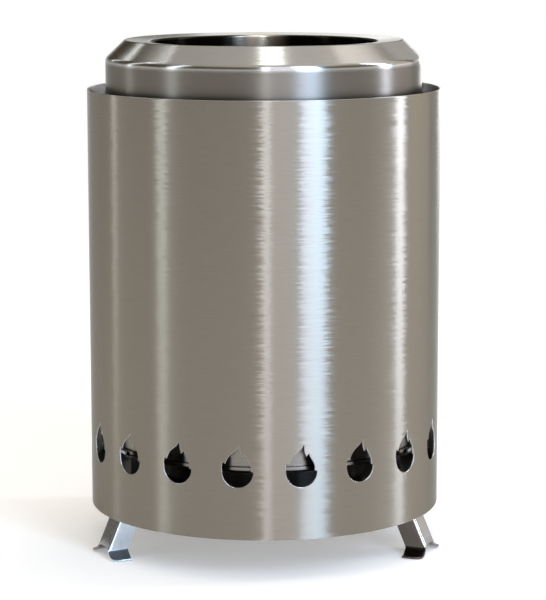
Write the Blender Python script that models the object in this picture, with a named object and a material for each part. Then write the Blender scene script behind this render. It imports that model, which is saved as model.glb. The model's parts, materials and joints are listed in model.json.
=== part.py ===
# Portable wood stove: a drop-in firebox with a coned top ring, inside a vented shell on three folding legs.
# Metres, +Z up. The stove's axis is the Z axis, and the feet stand on the plane z = 0.
# The front, between two of the legs, faces -Y. Angles round the stove are counted from the front towards +X.

from math import atan2, cos, hypot, pi, radians, sin, sqrt, tan

import bmesh
import bpy
from mathutils import Vector

# Sheets
SHELL_SHEET = 0.0008
FIREBOX_SHEET = 0.0008
BASE_SHEET = 0.0010
PAN_SHEET = 0.0008
LEG_SHEET = 0.0010
BRACKET_SHEET = 0.0010
REST_SHEET = 0.0010
RING_SHEET = 0.0008

# Clearances
SEAT_GAP = 0.0003        # between two pieces that are welded, riveted or rest on each other
HINGE_GAP = 0.0003       # between a bracket's ears and its leg, and between a leg and its pin's heads
PIN_GAP = 0.0002         # round a hinge pin in its holes
LIFT_GAP = 0.0004        # round the firebox where it slides through the spacer ring and past its rests

# Outer shell
SHELL_RADIUS = 0.0900
SHELL_HEIGHT = 0.2143
GROUND_CLEARANCE = 0.0204    # floor to the shell's bottom edge
VENT_COUNT = 18
VENT_TURN = radians(10)      # from the front to the first vent on the right
VENT_RADIUS = 0.0077         # round belly of the flame shape
VENT_RISE = 0.0340           # shell's bottom edge to the belly's centre

# Firebox and top ring
AIR_SPACE = 0.0087           # shell's inner face to the neck
NECK_RISE = 0.0154           # shell's rim to the knuckle between neck and cone
CONE_RISE = 0.0093
CONE_RUN = 0.0098
KNUCKLE_RADIUS = 0.0035
CROWN_RADIUS = 0.0012        # bend between cone and lip
LIP_WIDTH = 0.0130
LIP_DROP = 0.0009            # the lip slopes down towards the mouth
MOUTH_COLLAR = 0.0095        # depth of the lip's turned-down edge round the mouth
MOUTH_BEND = 0.0012
NECK_TAIL = 0.0040           # neck's reach below the spacer ring
NECK_LAP = 0.0180            # neck's overlap on the firebox wall
FIREBOX_RISE = 0.0318        # shell's bottom edge to the firebox floor's underside
FLOOR_FLANGE = 0.0026        # upturned edge of the floor, round the foot of the wall
FLOOR_BEND = 0.0012
AIR_HOLE_COUNT = 24
AIR_HOLE_RADIUS = 0.0025
AIR_HOLE_DROP = 0.0080       # neck's lower edge to the centres of the air holes

# Grate
GRATE_ROOM = 0.0037          # between the grate's edge and the mouth, so that it lifts out
GRATE_PLATE = 0.0018
GRATE_SEAT = 0.0060          # width of the ledge that carries the grate
GRATE_SPIGOT = 0.0012        # depth of the grate's centring step in the floor's hole
SLOT_WIDTH = 0.0036
INNER_SLOTS = 8
INNER_SLOT_START = 0.0105
INNER_SLOT_LENGTH = 0.0120
OUTER_SLOTS = 16
OUTER_SLOT_START = 0.0270
OUTER_SLOT_LENGTH = 0.0150
FINGER_HOLE_RADIUS = 0.0060

# Spacer ring between shell and neck
RING_DROP = 0.0150           # shell's rim to the ring's flat top
RING_DEPTH = 0.0080
RING_BEND = 0.0016

# Base plate and ash pan
BASE_FLANGE = 0.0082
BASE_BEND = 0.0020
PAN_DEPTH = 0.0110
PAN_LIP = 0.0030
PAN_ROOM = 0.0008            # between the ash pan's lip and the feet of the rests
PAN_BEND = 0.0025
PAN_LIP_BEND = 0.0004

# Legs
LEG_ANGLES = (radians(-64.4), radians(64.4), radians(180))
LEG_LEAN = radians(24)
LEG_INSET = 0.0038           # shell's inner face to the leg's web, at the height of the shell's bottom edge
LEG_WIDTH = 0.0132
LEG_DEPTH = 0.0104           # across the flanges, square to the web
LEG_BEND = 0.0015
FOOT_FLARE = 0.0084          # sideways reach of each foot
FOOT_SLOPE = radians(68)     # between the foot's slope and the vertical
FOOT_BEND = 0.0012
FOOT_CURL = 0.0030           # radius of the curl that lays the foot's edge flat
FOOT_FLAT = 0.0015           # width of the flat sole beyond the curl
FOOT_CORNER = 0.0052         # radius of the foot's outer corner
WEB_ARCH = 0.0010            # height of the arch in the web's lower edge

# Hinges
PIN_RISE = 0.0065            # shell's bottom edge to the hinge pin
PIN_RADIUS = 0.0015
PIN_DEPTH = 0.0050           # web's outer face to the pin
PIN_HEAD_RADIUS = 0.0026
PIN_HEAD = 0.0009
PIN_CHAMFER = 0.0003
EAR_GAP = 0.0005             # between the bracket's round ear and the leg's web
FOLD_ROOM = 0.0016           # between a folded leg and the base plate
BRACKET_TAIL = 0.0205        # bracket's reach inwards from the pin
BRACKET_NOSE = 0.0052        # bracket's reach outwards from the pin, over the web's top edge
EAR_REAR = 0.0060            # ear's reach inwards from the pin, at the plate
EAR_FRONT = 0.0015           # ear's reach outwards from the pin, at the plate

# Rivets and rests
RIVET_RADIUS = 0.0012
RIVET_HEAD_RADIUS = 0.0023
RIVET_HEAD = 0.0012
RIVET_HOLE_GAP = 0.0002
RIVET_PITCH = 0.0065
RIVET_INSET = 0.0040         # bracket's inner end to the first rivet
REST_WIDTH = 0.0110
REST_BEND = 0.0018
REST_SHELF = 0.0070          # ledge under the firebox floor
REST_LIP = 0.0024            # upturned end that keeps the firebox centred

# Fineness
ROUND_STEPS = 60
INNER_STEPS = 48             # pieces that show only from above or below
SMALL_STEPS = 16
RIVET_STEPS = 10
HOLE_STEPS = 8
BEND_STEPS = 3
LEG_BEND_STEPS = 4           # even, because the foot takes in half of the bend
TIGHT_STEPS = 1              # bends too small to look round
EAR_STEPS = 10
DOME_STEPS = 3
FLANGE_STEPS = 5
LEG_ROWS = 3
SMOOTH_ANGLE = radians(32)
WELD_DISTANCE = 1e-7
CUT_MARGIN = 0.0020          # how far a cutter reaches past what it cuts

# Heights and radii that follow from the sizes above
shell_bottom = GROUND_CLEARANCE
shell_top = shell_bottom + SHELL_HEIGHT
shell_inner = SHELL_RADIUS - SHELL_SHEET
neck_radius = shell_inner - AIR_SPACE
knuckle_height = shell_top + NECK_RISE
crown_height = knuckle_height + CONE_RISE
crown_radius = neck_radius - CONE_RUN
mouth_radius = crown_radius - LIP_WIDTH
ring_top = shell_top - RING_DROP
neck_bottom = ring_top - RING_DEPTH - NECK_TAIL
wall_radius = neck_radius - FIREBOX_SHEET - SEAT_GAP
floor_bottom = shell_bottom + FIREBOX_RISE
floor_top = floor_bottom + FIREBOX_SHEET
grate_radius = mouth_radius - GRATE_ROOM
floor_hole = grate_radius - GRATE_SEAT
pin_height = shell_bottom + PIN_RISE
pin_reach = shell_inner - LEG_INSET - tan(LEG_LEAN) * PIN_RISE - PIN_DEPTH / cos(LEG_LEAN)
ear_radius = LEG_DEPTH - PIN_DEPTH
base_bottom = pin_height + ear_radius + FOLD_ROOM
base_top = base_bottom + BASE_SHEET
bracket_top = base_bottom - SEAT_GAP
bracket_bottom = bracket_top - BRACKET_SHEET
bracket_width = LEG_WIDTH - 2 * LEG_SHEET - 2 * HINGE_GAP
rest_bottom = base_top + SEAT_GAP
rest_top = floor_bottom - SEAT_GAP
bracket_start = pin_reach - BRACKET_TAIL
rest_start = bracket_start
rest_step = neck_radius + LIFT_GAP - REST_SHELF
pan_radius = rest_start - PAN_ROOM - PAN_LIP


def clear_scene():
    for item in list(bpy.data.objects):
        bpy.data.objects.remove(item, do_unlink=True)


def steel(name, colour, roughness, metallic=1.0):
    material = bpy.data.materials.new(name)
    material.use_nodes = True
    shader = material.node_tree.nodes["Principled BSDF"]
    shader.inputs["Base Color"].default_value = (*colour, 1.0)
    shader.inputs["Roughness"].default_value = roughness
    shader.inputs["Metallic"].default_value = metallic
    material.diffuse_color = (*colour, 1.0)
    return material


def add_object(name, bm, material, closed=True):
    if closed:
        bmesh.ops.recalc_face_normals(bm, faces=bm.faces)
    mesh = bpy.data.meshes.new(name)
    bm.to_mesh(mesh)
    bm.free()
    if material:
        mesh.materials.append(material)
    mesh.shade_smooth()
    mesh.set_sharp_from_angle(angle=SMOOTH_ANGLE)
    item = bpy.data.objects.new(name, mesh)
    bpy.context.scene.collection.objects.link(item)
    return item


def add_cutter(name, bm):
    item = add_object(name, bm, None)
    item.hide_render = True
    item.display_type = "WIRE"
    return item


def combine(item, other, operation):
    modifier = item.modifiers.new(operation.lower(), "BOOLEAN")
    modifier.operation = operation
    modifier.solver = "EXACT"
    modifier.object = other


# A path is a list of (x, y, radius): its corners, and the radius that rounds each one.
def rounded(path, steps=BEND_STEPS):
    points = []
    for index, (x, y, radius) in enumerate(path):
        corner = Vector((x, y))
        if radius <= 0 or index in (0, len(path) - 1):
            points.append(corner)
            continue
        back = (Vector(path[index - 1][:2]) - corner).normalized()
        ahead = (Vector(path[index + 1][:2]) - corner).normalized()
        half = back.angle(ahead) / 2
        start = corner + back * (radius / tan(half))
        end = corner + ahead * (radius / tan(half))
        centre = corner + (back + ahead).normalized() * (radius / sin(half))
        turn = (start - centre).angle_signed(end - centre)
        for step in range(steps + 1):
            spoke = start - centre
            angle = -turn * step / steps
            points.append(centre + Vector((
                spoke.x * cos(angle) - spoke.y * sin(angle),
                spoke.x * sin(angle) + spoke.y * cos(angle),
            )))
    return points


# A bent sheet's section: the path is its outer face, and the sheet lies on the path's left.
def sheet_section(path, thickness, steps=BEND_STEPS):
    corners = [Vector(point[:2]) for point in path]
    inner = []
    for index, corner in enumerate(corners):
        before = (corner - corners[index - 1]).normalized() if index else None
        after = (corners[index + 1] - corner).normalized() if index + 1 < len(corners) else None
        before = before or after
        after = after or before
        left_before = Vector((-before.y, before.x))
        left_after = Vector((-after.y, after.x))
        shift = left_before + left_after
        shift *= thickness / shift.dot(left_before)
        turns_left = before.x * after.y - before.y * after.x > 0
        radius = path[index][2]
        if radius > 0:
            radius += -thickness if turns_left else thickness
        inner.append((corner.x + shift.x, corner.y + shift.y, max(radius, 0.0)))
    return rounded(path, steps) + rounded(inner, steps)[::-1]


# A solid of revolution about Z from a closed section of (radius, height) points.
def turned(section, steps=ROUND_STEPS, axis_is_z=True):
    bm = bmesh.new()
    ring = [bm.verts.new((point[0], 0, point[1])) for point in section]
    edges = []
    for one, two in zip(ring, ring[1:] + ring[:1]):
        if max(one.co.x, two.co.x) > WELD_DISTANCE:
            edges.append(bm.edges.new((one, two)))
    bmesh.ops.spin(
        bm, geom=ring + edges, cent=(0, 0, 0), axis=(0, 0, 1), angle=2 * pi, steps=steps, use_merge=True,
    )
    bmesh.ops.remove_doubles(bm, verts=bm.verts, dist=WELD_DISTANCE)
    if not axis_is_z:
        turn_points(bm, lambda point: (point[2], point[1], -point[0]))
    return bm


def turn_points(bm, rule):
    for vertex in bm.verts:
        vertex.co = rule(vertex.co.copy())


# A flat outline pushed through a thickness: outline of (y, z) points, running along X.
def prism(outline, low, high):
    bm = bmesh.new()
    face = bm.faces.new([bm.verts.new((low, point[0], point[1])) for point in outline])
    grown = bmesh.ops.extrude_face_region(bm, geom=[face])["geom"]
    for vertex in grown:
        if isinstance(vertex, bmesh.types.BMVert):
            vertex.co.x = high
    return bm


def cylinder(radius, low, high, steps=SMALL_STEPS):
    return turned([(0, low), (radius, low), (radius, high), (0, high)], steps)


def place(item, reach, angle, height=0.0):
    item.location = (reach * sin(angle), -reach * cos(angle), height)
    item.rotation_euler = (0, 0, angle)
    return item


def merge_into(bm, other):
    mesh = bpy.data.meshes.new("piece")
    other.to_mesh(mesh)
    other.free()
    bm.from_mesh(mesh)
    bpy.data.meshes.remove(mesh)


def bezier(start, first, second, end, steps):
    points = []
    for step in range(steps):
        share = step / steps
        rest = 1 - share
        points.append(Vector((
            rest ** 3 * start[k] + 3 * rest ** 2 * share * first[k]
            + 3 * rest * share ** 2 * second[k] + share ** 3 * end[k]
            for k in (0, 1)
        )))
    return points


# The flame outline in units of its belly's radius: a round belly, a tall tip and a short one on each side.
def flame_outline():
    tip = (0.15, 1.74)
    right_notch = (0.30, 0.96)
    right_tip = (0.48, 1.16)
    shoulder = (0.84, 0.06)
    left_tip = (-0.97, 0.64)
    left_notch = (-0.80, 0.52)
    points = bezier(tip, (0.13, 1.47), (0.17, 1.16), right_notch, 3)
    points += [Vector(right_notch)]
    points += bezier(right_tip, (0.47, 0.86), (0.94, 0.60), shoulder, 4)
    points += [Vector(shoulder)]
    belly_steps = 11
    for step in range(belly_steps + 1):
        angle = -pi * step / belly_steps
        points.append(Vector((cos(angle), sin(angle))))
    points += bezier((-1.0, 0.0), (-1.05, 0.26), (-1.01, 0.44), left_tip, 2)[1:]
    points += [Vector(left_tip)]
    points += bezier(left_notch, (-0.56, 1.30), (-0.05, 1.22), tip, 5)
    return points


def vent_cutter():
    bm = bmesh.new()
    for index in range(VENT_COUNT):
        angle = VENT_TURN + 2 * pi * index / VENT_COUNT
        outline = [point * VENT_RADIUS for point in flame_outline()]
        rings = []
        for reach in (shell_inner - CUT_MARGIN, SHELL_RADIUS + CUT_MARGIN):
            rings.append([
                bm.verts.new((
                    reach * sin(angle) + point.x * cos(angle),
                    -reach * cos(angle) + point.x * sin(angle),
                    shell_bottom + VENT_RISE + point.y,
                ))
                for point in outline
            ])
        bm.faces.new(rings[0])
        bm.faces.new(rings[1][::-1])
        for step, corner in enumerate(rings[0]):
            after = (step + 1) % len(outline)
            bm.faces.new((corner, rings[1][step], rings[1][after], rings[0][after]))
    return add_cutter("vent_cutter", bm)


def outer_shell(material):
    section = [
        (SHELL_RADIUS, shell_bottom),
        (SHELL_RADIUS, shell_top),
        (shell_inner, shell_top),
        (shell_inner, shell_bottom),
    ]
    item = add_object("outer_shell", turned(section), material)
    combine(item, vent_cutter(), "DIFFERENCE")


def spacer_ring(material):
    outside = shell_inner - SEAT_GAP
    inside = neck_radius + LIFT_GAP
    low = ring_top - RING_DEPTH
    path = [
        (outside, low, 0),
        (outside, ring_top, RING_BEND),
        (inside, ring_top, RING_BEND),
        (inside, low, 0),
    ]
    section = sheet_section(path, RING_SHEET, TIGHT_STEPS)
    add_object("spacer_ring", turned(section, INNER_STEPS), material)


def top_ring(material):
    path = [
        (neck_radius, neck_bottom, 0),
        (neck_radius, knuckle_height, KNUCKLE_RADIUS),
        (crown_radius, crown_height, CROWN_RADIUS),
        (mouth_radius, crown_height - LIP_DROP, MOUTH_BEND),
        (mouth_radius, crown_height - LIP_DROP - MOUTH_COLLAR, 0),
    ]
    add_object("top_ring", turned(sheet_section(path, FIREBOX_SHEET)), material)


def firebox_wall(material):
    inner = wall_radius - FIREBOX_SHEET
    bottom = floor_top + SEAT_GAP
    top = neck_bottom + NECK_LAP
    section = [(wall_radius, bottom), (wall_radius, top), (inner, top), (inner, bottom)]
    item = add_object("firebox_wall", turned(section), material)
    bm = bmesh.new()
    for index in range(AIR_HOLE_COUNT):
        drill = cylinder(AIR_HOLE_RADIUS, inner - CUT_MARGIN, wall_radius + CUT_MARGIN, HOLE_STEPS)
        angle = 2 * pi * (index + 0.5) / AIR_HOLE_COUNT
        height = neck_bottom - AIR_HOLE_DROP
        turn_points(drill, lambda point: (
            point[2] * sin(angle) + point[0] * cos(angle),
            -point[2] * cos(angle) + point[0] * sin(angle),
            height + point[1],
        ))
        merge_into(bm, drill)
    combine(item, add_cutter("air_hole_cutter", bm), "DIFFERENCE")


def firebox_floor(material):
    flange_top = floor_bottom + FLOOR_FLANGE
    path = [
        (floor_hole, floor_bottom, 0),
        (neck_radius, floor_bottom, FLOOR_BEND),
        (neck_radius, flange_top, 0),
    ]
    add_object("firebox_floor", turned(sheet_section(path, FIREBOX_SHEET, TIGHT_STEPS)), material)


# A slot with round ends along the radius, from start to start + length.
def slot_outline(start, length):
    half = SLOT_WIDTH / 2
    points = []
    for centre, first in ((start + length - half, 0), (start + half, pi)):
        for step in range(3):
            angle = first + pi * (step / 2 - 0.5)
            points.append((centre + half * cos(angle), half * sin(angle)))
    return points


def fire_grate(material):
    bottom = floor_top + SEAT_GAP
    top = bottom + GRATE_PLATE
    spigot = floor_hole - LIFT_GAP
    section = [
        (FINGER_HOLE_RADIUS, bottom - GRATE_SPIGOT),
        (spigot, bottom - GRATE_SPIGOT),
        (spigot, bottom),
        (grate_radius, bottom),
        (grate_radius, top),
        (FINGER_HOLE_RADIUS, top),
    ]
    item = add_object("fire_grate", turned(section, INNER_STEPS), material)
    bm = bmesh.new()
    rings = (
        (INNER_SLOTS, INNER_SLOT_START, INNER_SLOT_LENGTH),
        (OUTER_SLOTS, OUTER_SLOT_START, OUTER_SLOT_LENGTH),
    )
    for count, start, length in rings:
        for index in range(count):
            angle = 2 * pi * (index + 0.5) / count
            slot = prism(slot_outline(start, length), bottom - GRATE_SPIGOT - CUT_MARGIN, top + CUT_MARGIN)
            turn_points(slot, lambda point: (
                point[1] * sin(angle) + point[2] * cos(angle),
                -point[1] * cos(angle) + point[2] * sin(angle),
                point[0],
            ))
            merge_into(bm, slot)
    combine(item, add_cutter("slot_cutter", bm), "DIFFERENCE")


def ash_pan(material):
    bottom = base_top + SEAT_GAP
    top = bottom + PAN_DEPTH
    path = [
        (0, bottom, 0),
        (pan_radius, bottom, PAN_BEND),
        (pan_radius, top - PAN_SHEET, PAN_LIP_BEND),
        (pan_radius + PAN_LIP, top - PAN_SHEET, 0),
    ]
    add_object("ash_pan", turned(sheet_section(path, PAN_SHEET, 2), INNER_STEPS), material)


def rivet_reaches():
    first = bracket_start + RIVET_INSET
    return (first, first + RIVET_PITCH)


def rivet_hole_cutter():
    bm = bmesh.new()
    for angle in LEG_ANGLES:
        for reach in rivet_reaches():
            low = bracket_bottom - CUT_MARGIN
            high = rest_bottom + REST_SHEET + CUT_MARGIN
            drill = cylinder(RIVET_RADIUS + RIVET_HOLE_GAP, low, high, RIVET_STEPS)
            turn_points(drill, lambda point: (
                point[0] + reach * sin(angle),
                point[1] - reach * cos(angle),
                point[2],
            ))
            merge_into(bm, drill)
    return add_cutter("rivet_hole_cutter", bm)


def base_plate(material, holes):
    edge = shell_inner - SEAT_GAP
    path = [(0, base_bottom, 0), (edge, base_bottom, BASE_BEND), (edge, base_bottom + BASE_FLANGE, 0)]
    item = add_object("base_plate", turned(sheet_section(path, BASE_SHEET), INNER_STEPS), material)
    combine(item, holes, "DIFFERENCE")


def base_rivet(number, reach, angle, material):
    low = bracket_bottom - SEAT_GAP
    high = rest_bottom + REST_SHEET + SEAT_GAP
    dome = []
    for step in range(DOME_STEPS + 1):
        turn = pi / 2 * step / DOME_STEPS
        dome.append((RIVET_HEAD_RADIUS * cos(turn), RIVET_HEAD * sin(turn)))
    section = [(reach_out, low - rise) for reach_out, rise in dome[::-1]]
    section += [(RIVET_RADIUS, low), (RIVET_RADIUS, high)]
    section += [(reach_out, high + rise) for reach_out, rise in dome]
    item = add_object(f"base_rivet_{number}", turned(section, RIVET_STEPS), material)
    place(item, reach, angle)


# The bracket's ear, side on, as (reach outwards from the pin, height above the pin).
def ear_outline():
    radius = PIN_DEPTH - LEG_SHEET - EAR_GAP
    root = bracket_bottom + BRACKET_SHEET / 2 - pin_height
    rear = atan2(root, -EAR_REAR) + pi - atan2(radius, sqrt(EAR_REAR ** 2 + root ** 2 - radius ** 2)) - pi / 2
    front = atan2(root, EAR_FRONT) - pi / 2 + atan2(radius, sqrt(EAR_FRONT ** 2 + root ** 2 - radius ** 2))
    points = [(EAR_FRONT, root), (-EAR_REAR, root)]
    for step in range(EAR_STEPS + 1):
        angle = rear + (front + 2 * pi - rear) * step / EAR_STEPS
        points.append((radius * cos(angle), radius * sin(angle)))
    return points


def pin_hole_cutter(number, angle, width):
    drill = cylinder(PIN_RADIUS + PIN_GAP, -width, width)
    turn_points(drill, lambda point: (point[2], point[1], -point[0]))
    return place(add_cutter(f"pin_hole_cutter_{number}", drill), pin_reach, angle, pin_height)


def leg_bracket(number, angle, material, holes, pin_hole):
    half = bracket_width / 2
    low = bracket_bottom - pin_height
    high = bracket_top - pin_height
    plate = [(BRACKET_TAIL, low), (-BRACKET_NOSE, low), (-BRACKET_NOSE, high), (BRACKET_TAIL, high)]
    item = add_object(f"leg_bracket_{number}", prism(plate, -half, half), material)
    place(item, pin_reach, angle, pin_height)
    outline = [(-reach, height) for reach, height in ear_outline()]
    for side, inner in (("left", -half), ("right", half - BRACKET_SHEET)):
        ear = add_cutter(f"ear_{side}_{number}", prism(outline, inner, inner + BRACKET_SHEET))
        place(ear, pin_reach, angle, pin_height)
        combine(item, ear, "UNION")
    combine(item, holes, "DIFFERENCE")
    combine(item, pin_hole, "DIFFERENCE")


def leg_pin(number, angle, material):
    head = LEG_WIDTH / 2 + HINGE_GAP
    end = head + PIN_HEAD
    section = [
        (0, -end),
        (PIN_HEAD_RADIUS - PIN_CHAMFER, -end),
        (PIN_HEAD_RADIUS, -end + PIN_CHAMFER),
        (PIN_HEAD_RADIUS, -head),
        (PIN_RADIUS, -head),
        (PIN_RADIUS, head),
        (PIN_HEAD_RADIUS, head),
        (PIN_HEAD_RADIUS, end - PIN_CHAMFER),
        (PIN_HEAD_RADIUS - PIN_CHAMFER, end),
        (0, end),
    ]
    item = add_object(f"leg_pin_{number}", turned(section, SMALL_STEPS, axis_is_z=False), material)
    place(item, pin_reach, angle, pin_height)


def firebox_rest(number, angle, material, holes):
    half = REST_WIDTH / 2
    lip = neck_radius + LIFT_GAP
    path = [
        (rest_start, rest_bottom, 0),
        (rest_step, rest_bottom, REST_BEND),
        (rest_step, rest_top - REST_SHEET, REST_BEND - REST_SHEET),
        (lip + REST_SHEET, rest_top - REST_SHEET, REST_BEND),
        (lip + REST_SHEET, rest_top + REST_LIP, 0),
    ]
    section = [(-point[0], point[1]) for point in sheet_section(path, REST_SHEET, 2)]
    item = add_object(f"firebox_rest_{number}", prism(section, -half, half), material)
    place(item, 0, angle)
    combine(item, holes, "DIFFERENCE")


# A point of a leg at rest, from its pin: outwards from the web's plane, down the leg and sideways.
def leg_point(outward, down, side):
    reach = outward * cos(LEG_LEAN) + down * sin(LEG_LEAN)
    height = outward * sin(LEG_LEAN) - down * cos(LEG_LEAN)
    return Vector((side, -reach, height))


# The foot's sweep from the flange, as (sideways, down) steps: bend, slope, curl and flat sole.
def foot_sweep():
    slope_run = FOOT_FLARE - FOOT_FLAT - FOOT_BEND * (1 - cos(FOOT_SLOPE)) - FOOT_CURL * cos(FOOT_SLOPE)
    slope = slope_run / sin(FOOT_SLOPE)
    points = [(0.0, 0.0)]
    for step in range(1, BEND_STEPS + 1):
        angle = FOOT_SLOPE * step / BEND_STEPS
        points.append((FOOT_BEND * (1 - cos(angle)), FOOT_BEND * sin(angle)))
    side, down = points[-1]
    for share in (0.5, 1.0):
        points.append((side + slope * share * sin(FOOT_SLOPE), down + slope * share * cos(FOOT_SLOPE)))
    side, down = points[-1]
    for share in (0.5, 1.0):
        angle = FOOT_SLOPE + (pi / 2 - FOOT_SLOPE) * share
        points.append((
            side + FOOT_CURL * (cos(FOOT_SLOPE) - cos(angle)),
            down + FOOT_CURL * (sin(angle) - sin(FOOT_SLOPE)),
        ))
    side, down = points[-1]
    points += [(side + FOOT_FLAT * share, down) for share in (0.4, 0.75, 1.0)]
    return points


def skin(bm, rows):
    for upper, lower in zip(rows, rows[1:]):
        for index in range(len(upper) - 1):
            bm.faces.new((upper[index], upper[index + 1], lower[index + 1], lower[index]))


def leg_mesh():
    half = LEG_WIDTH / 2
    web = PIN_DEPTH
    free = PIN_DEPTH - LEG_DEPTH
    corner = web - LEG_BEND
    sweep = foot_sweep()
    foot_top = LEG_SHEET + sweep[-1][1] - pin_height
    web_top = (bracket_bottom - SEAT_GAP - pin_height - web * sin(LEG_LEAN)) / cos(LEG_LEAN)

    columns = []
    for step in range(FLANGE_STEPS + 1):
        spread = 1 - cos(pi / 2 * step / FLANGE_STEPS)
        columns.append((free + (corner - free) * spread, half))
    for step in range(1, LEG_BEND_STEPS + 1):
        angle = pi / 2 * step / LEG_BEND_STEPS
        columns.append((corner + LEG_BEND * sin(angle), half - LEG_BEND + LEG_BEND * cos(angle)))
    middle = [(web, (half - LEG_BEND) * share) for share in (0.5, 0.0, -0.5)]
    columns = columns + middle + [(outward, -side) for outward, side in columns[::-1]]

    def top(outward):
        inside = ear_radius ** 2 - outward ** 2
        round_top = sqrt(inside) if inside > 0 else 0.0
        return -max(round_top, web_top) if outward > 0 else -round_top

    def bottom(outward, side):
        arch = WEB_ARCH * (1 - (side / half) ** 2) if outward > corner else 0.0
        return (outward * sin(LEG_LEAN) - foot_top - arch) / cos(LEG_LEAN)

    bm = bmesh.new()
    rows = []
    for step in range(LEG_ROWS + 1):
        share = step / LEG_ROWS
        rows.append([
            bm.verts.new(leg_point(outward, top(outward) * (1 - share) + bottom(outward, side) * share, side))
            for outward, side in columns
        ])
    skin(bm, rows)

    length = sum(hypot(b[0] - a[0], b[1] - a[1]) for a, b in zip(sweep, sweep[1:]))
    for sign in (1, -1):
        flange = list(range(FLANGE_STEPS + LEG_BEND_STEPS // 2 + 1))
        if sign < 0:
            flange = [len(columns) - 1 - index for index in flange]
        foot_rows = [[rows[-1][index] for index in flange]]
        gone = 0.0
        for before, after in zip(sweep, sweep[1:]):
            gone += hypot(after[0] - before[0], after[1] - before[1])
            into = max(0.0, 1 - (length - gone) / FOOT_CORNER)
            rounding = FOOT_CORNER * (1 - sqrt(max(0.0, 1 - into ** 2)))
            edge = columns[flange[-1]][0]
            shrink = (edge - rounding - free) / (edge - free)
            row = []
            for index in flange:
                outward = free + (columns[index][0] - free) * shrink
                point = leg_point(outward, bottom(outward, half), sign * half)
                drift = Vector((sign * after[0], -after[1] * tan(LEG_LEAN), -after[1]))
                row.append(bm.verts.new(point + drift))
            foot_rows.append(row)
        skin(bm, foot_rows if sign > 0 else [row[::-1] for row in foot_rows])
    return bm


def leg(number, angle, material, pin_hole):
    item = add_object(f"leg_{number}", leg_mesh(), material, closed=False)
    modifier = item.modifiers.new("sheet", "SOLIDIFY")
    modifier.thickness = LEG_SHEET
    modifier.offset = -1.0
    modifier.use_even_offset = True
    combine(item, pin_hole, "DIFFERENCE")
    place(item, pin_reach, angle, pin_height)


def build():
    clear_scene()
    shell_steel = steel("shell_brushed_steel", (0.60, 0.57, 0.53), 0.32)
    ring_steel = steel("ring_polished_steel", (0.66, 0.65, 0.63), 0.20)
    firebox_steel = steel("firebox_steel", (0.50, 0.47, 0.43), 0.38)
    base_steel = steel("base_steel", (0.52, 0.51, 0.49), 0.35)
    grate_steel = steel("grate_steel", (0.34, 0.33, 0.32), 0.50)
    leg_steel = steel("leg_bright_steel", (0.70, 0.72, 0.74), 0.18)
    pin_steel = steel("pin_steel", (0.68, 0.68, 0.68), 0.25)

    outer_shell(shell_steel)
    spacer_ring(base_steel)
    top_ring(ring_steel)
    firebox_wall(firebox_steel)
    firebox_floor(firebox_steel)
    fire_grate(grate_steel)
    ash_pan(base_steel)
    holes = rivet_hole_cutter()
    base_plate(base_steel, holes)
    for number, angle in enumerate(LEG_ANGLES, 1):
        inner, outer = rivet_reaches()
        base_rivet(2 * number - 1, inner, angle, pin_steel)
        base_rivet(2 * number, outer, angle, pin_steel)
        pin_hole = pin_hole_cutter(number, angle, LEG_WIDTH)
        leg_bracket(number, angle, base_steel, holes, pin_hole)
        leg_pin(number, angle, pin_steel)
        leg(number, angle, leg_steel, pin_hole)
        firebox_rest(number, angle, base_steel, holes)


build()
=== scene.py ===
# Portable wood stove in brushed stainless steel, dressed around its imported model.
# Metres, +Z up. Angles round the stove are counted from the front, which faces -Y, towards +X.

import json
from math import atan2, cos, pi, radians, sin, sqrt, tan

import bmesh
import bpy
from mathutils import Matrix, Vector
from mathutils.geometry import delaunay_2d_cdt


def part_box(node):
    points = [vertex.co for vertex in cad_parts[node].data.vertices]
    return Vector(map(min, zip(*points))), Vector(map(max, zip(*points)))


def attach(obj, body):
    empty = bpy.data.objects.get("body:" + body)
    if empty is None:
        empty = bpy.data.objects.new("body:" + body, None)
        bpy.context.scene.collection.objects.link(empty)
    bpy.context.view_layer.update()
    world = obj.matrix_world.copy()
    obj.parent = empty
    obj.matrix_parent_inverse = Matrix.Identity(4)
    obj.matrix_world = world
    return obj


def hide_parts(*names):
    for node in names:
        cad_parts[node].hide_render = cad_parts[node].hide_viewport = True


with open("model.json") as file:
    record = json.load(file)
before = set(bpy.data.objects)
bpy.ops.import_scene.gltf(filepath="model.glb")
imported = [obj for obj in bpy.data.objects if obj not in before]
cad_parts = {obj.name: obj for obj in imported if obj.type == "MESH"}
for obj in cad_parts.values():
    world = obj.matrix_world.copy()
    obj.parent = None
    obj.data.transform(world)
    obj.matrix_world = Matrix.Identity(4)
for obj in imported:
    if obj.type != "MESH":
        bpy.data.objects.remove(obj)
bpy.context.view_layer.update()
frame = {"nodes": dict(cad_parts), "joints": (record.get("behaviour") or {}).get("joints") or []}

nodes = frame["nodes"]
print("frame loaded:", len(nodes), "nodes")

tiny = 1e-7     # metres: points closer than this are one point


# Camera: it stands a little to the left of the stove's front, and looks down on it

cameraView = {
    "azimuth": -1.6,
    "distance": 1.21517,
    "height": 0.3213,
    "pitch": 9.186,       # degrees below the horizon
    "roll": -0.118,
    "lens": 142.72,
    "sensor": 36.0,
    "shiftX": 0.01467,
    "near": 0.05,
    "far": 200.0,
}


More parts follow.
